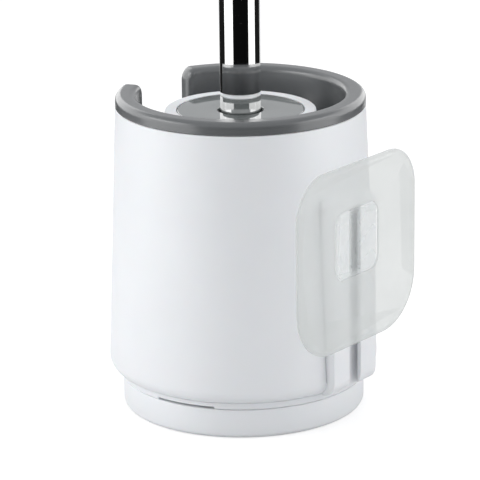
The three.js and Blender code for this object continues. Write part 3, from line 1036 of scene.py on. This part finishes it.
def make_turned_pieces():
    """Every piece of the brush that is plainly round."""
    for name, node, edge, segments in TURNED_PIECES:
        piece = turned_piece(name, node, edge, segments=segments)
        finish_piece(piece, node)


THREAD_PITCH = 1.25
THREAD_DEPTH = 0.55
THREAD_ROWS = 8                  # rows of points in one turn of the thread


def make_stud():
    """A steel stud with a real helical thread inside its CAD cylinder."""
    low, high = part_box("threaded_stud")
    bottom, top = low[2] / MM, high[2] / MM
    crest = high[0] / MM
    segments = 48
    rows = round((top - bottom) / THREAD_PITCH * THREAD_ROWS)
    vertices = []
    for row in range(rows + 1):
        z = bottom + (top - bottom) * row / rows
        chamfer = max(0.0, 1 - (top - z)) + max(0.0, 1 - (z - bottom))
        for i in range(segments):
            phase = (z / THREAD_PITCH - i / segments) % 1
            groove = THREAD_DEPTH * (1 - abs(2 * phase - 1))
            radius = crest - max(groove, chamfer)
            angle = math.tau * i / segments
            vertices.append((radius * math.cos(angle), radius * math.sin(angle), z))
    faces = [tuple(reversed(range(segments)))]
    for row in range(rows):
        for i in range(segments):
            j = (i + 1) % segments
            a, b = row * segments, (row + 1) * segments
            faces.append((a + i, a + j, b + j, b + i))
    faces.append(tuple(rows * segments + i for i in range(segments)))
    return finish_piece(mesh_object("steel_stud", vertices, faces), "threaded_stud")


FILAMENT_RADIUS = 0.22
FILAMENT_SIDES = 5
TUFT_ROWS = 2                    # rows of tufts in one tier
TUFTS_ROUND = 22
TUFT_FILAMENTS = 13
TIP_FILAMENTS = 12
TIP_RINGS = ((1.2, 5), (3.2, 10), (5.4, 16))  # radius in the hub's end, tufts


def filament(vertices, faces, path):
    """Adds one bristle: a thin prism along a few points."""
    start = len(vertices)
    along = (Vector(path[-1]) - Vector(path[0])).normalized()
    across = along.orthogonal().normalized()
    other = along.cross(across)
    for n, point in enumerate(path):
        radius = FILAMENT_RADIUS * (0.7 if n == len(path) - 1 else 1.0)
        for i in range(FILAMENT_SIDES):
            angle = math.tau * i / FILAMENT_SIDES
            vertices.append(Vector(point) + (across * math.cos(angle) + other * math.sin(angle)) * radius)
    for n in range(len(path) - 1):
        for i in range(FILAMENT_SIDES):
            j = (i + 1) % FILAMENT_SIDES
            a, b = start + n * FILAMENT_SIDES, start + (n + 1) * FILAMENT_SIDES
            faces.append((a + i, a + j, b + j, b + i))
    faces.append(tuple(reversed(range(start, start + FILAMENT_SIDES))))
    end = start + (len(path) - 1) * FILAMENT_SIDES
    faces.append(tuple(range(end, end + FILAMENT_SIDES)))


def raw_mesh(name, vertices, faces):
    """A new object straight from millimetre vertices."""
    mesh = bpy.data.meshes.new(name)
    mesh.from_pydata([Vector(v) * MM for v in vertices], [], faces)
    piece = bpy.data.objects.new(name, mesh)
    bpy.context.scene.collection.objects.link(piece)
    return piece


def make_tufts(tier, chance):
    """One tier of tufts set in the hub: each is a small fan of filaments."""
    node = f"bristle_tier_{tier}"
    low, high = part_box(node)
    bottom, top = low[2] / MM, high[2] / MM
    reach = high[0] / MM
    root = hub_radius() - 0.8
    vertices = []
    faces = []
    for row in range(TUFT_ROWS):
        z = bottom + (top - bottom) * (row + 0.5) / TUFT_ROWS
        for tuft in range(TUFTS_ROUND):
            angle = math.tau * (tuft + 0.5 * row + 0.33 * tier) / TUFTS_ROUND
            for _ in range(TUFT_FILAMENTS):
                start_angle = angle + chance.uniform(-0.05, 0.05)
                end_angle = angle + chance.uniform(-0.11, 0.11)
                start_z = z + chance.uniform(-0.9, 0.9)
                end_z = min(top - 0.3, max(bottom + 0.3, z + chance.uniform(-3.2, 3.2)))
                length = reach * chance.uniform(0.955, 0.99)
                path = []
                for t in (0, 0.5, 1):
                    radius = root + (length - root) * t
                    bend = start_angle + (end_angle - start_angle) * t * t
                    height = start_z + (end_z - start_z) * t
                    path.append((radius * math.cos(bend), radius * math.sin(bend), height))
                filament(vertices, faces, path)
    return finish_piece(raw_mesh(f"tufts_{tier}", vertices, faces), node)


def hub_radius():
    """The radius of the hub that the tufts are set in."""
    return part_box("brush_hub")[1][0] / MM


def make_tip_tufts(chance):
    """The end of the head: tufts that lean down and out from the hub's lower end."""
    low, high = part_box("bristle_tip")
    bottom, top = low[2] / MM, high[2] / MM
    reach = high[0] / MM
    vertices = []
    faces = []
    outermost = TIP_RINGS[-1][0]
    for ring_radius, tufts in TIP_RINGS:
        for tuft in range(tufts):
            angle = math.tau * (tuft + ring_radius) / tufts
            for _ in range(TIP_FILAMENTS):
                lean = ring_radius / outermost * chance.uniform(0.72, 0.95)
                turn = angle + chance.uniform(-0.1, 0.1)
                end_radius = reach * lean
                end_z = bottom + 0.4 + (top - bottom - 6) * lean ** 2
                start = (ring_radius * math.cos(turn), ring_radius * math.sin(turn), top - 0.4)
                end = (end_radius * math.cos(turn), end_radius * math.sin(turn), end_z)
                middle = tuple((a + b) / 2 for a, b in zip(start, end))
                middle = (middle[0] * 1.08, middle[1] * 1.08, middle[2])
                filament(vertices, faces, [start, middle, end])
    return finish_piece(raw_mesh("tufts_tip", vertices, faces), "bristle_tip")


def make_bristles():
    """All the tufts, drawn from one seeded source of chance."""
    chance = random.Random(SEED)
    tiers = sum(1 for node in frame["nodes"] if node.startswith("bristle_tier"))
    for tier in range(1, tiers + 1):
        make_tufts(tier, chance)
    make_tip_tufts(chance)


# ---- the scene -----------------------------------------------------------------

make_camera()
make_studio()
make_collar()
make_shell()
make_base()
wall_sheet()
hook_moulding()
adhesive_sheet()
make_turned_pieces()
make_stud()
make_bristles()
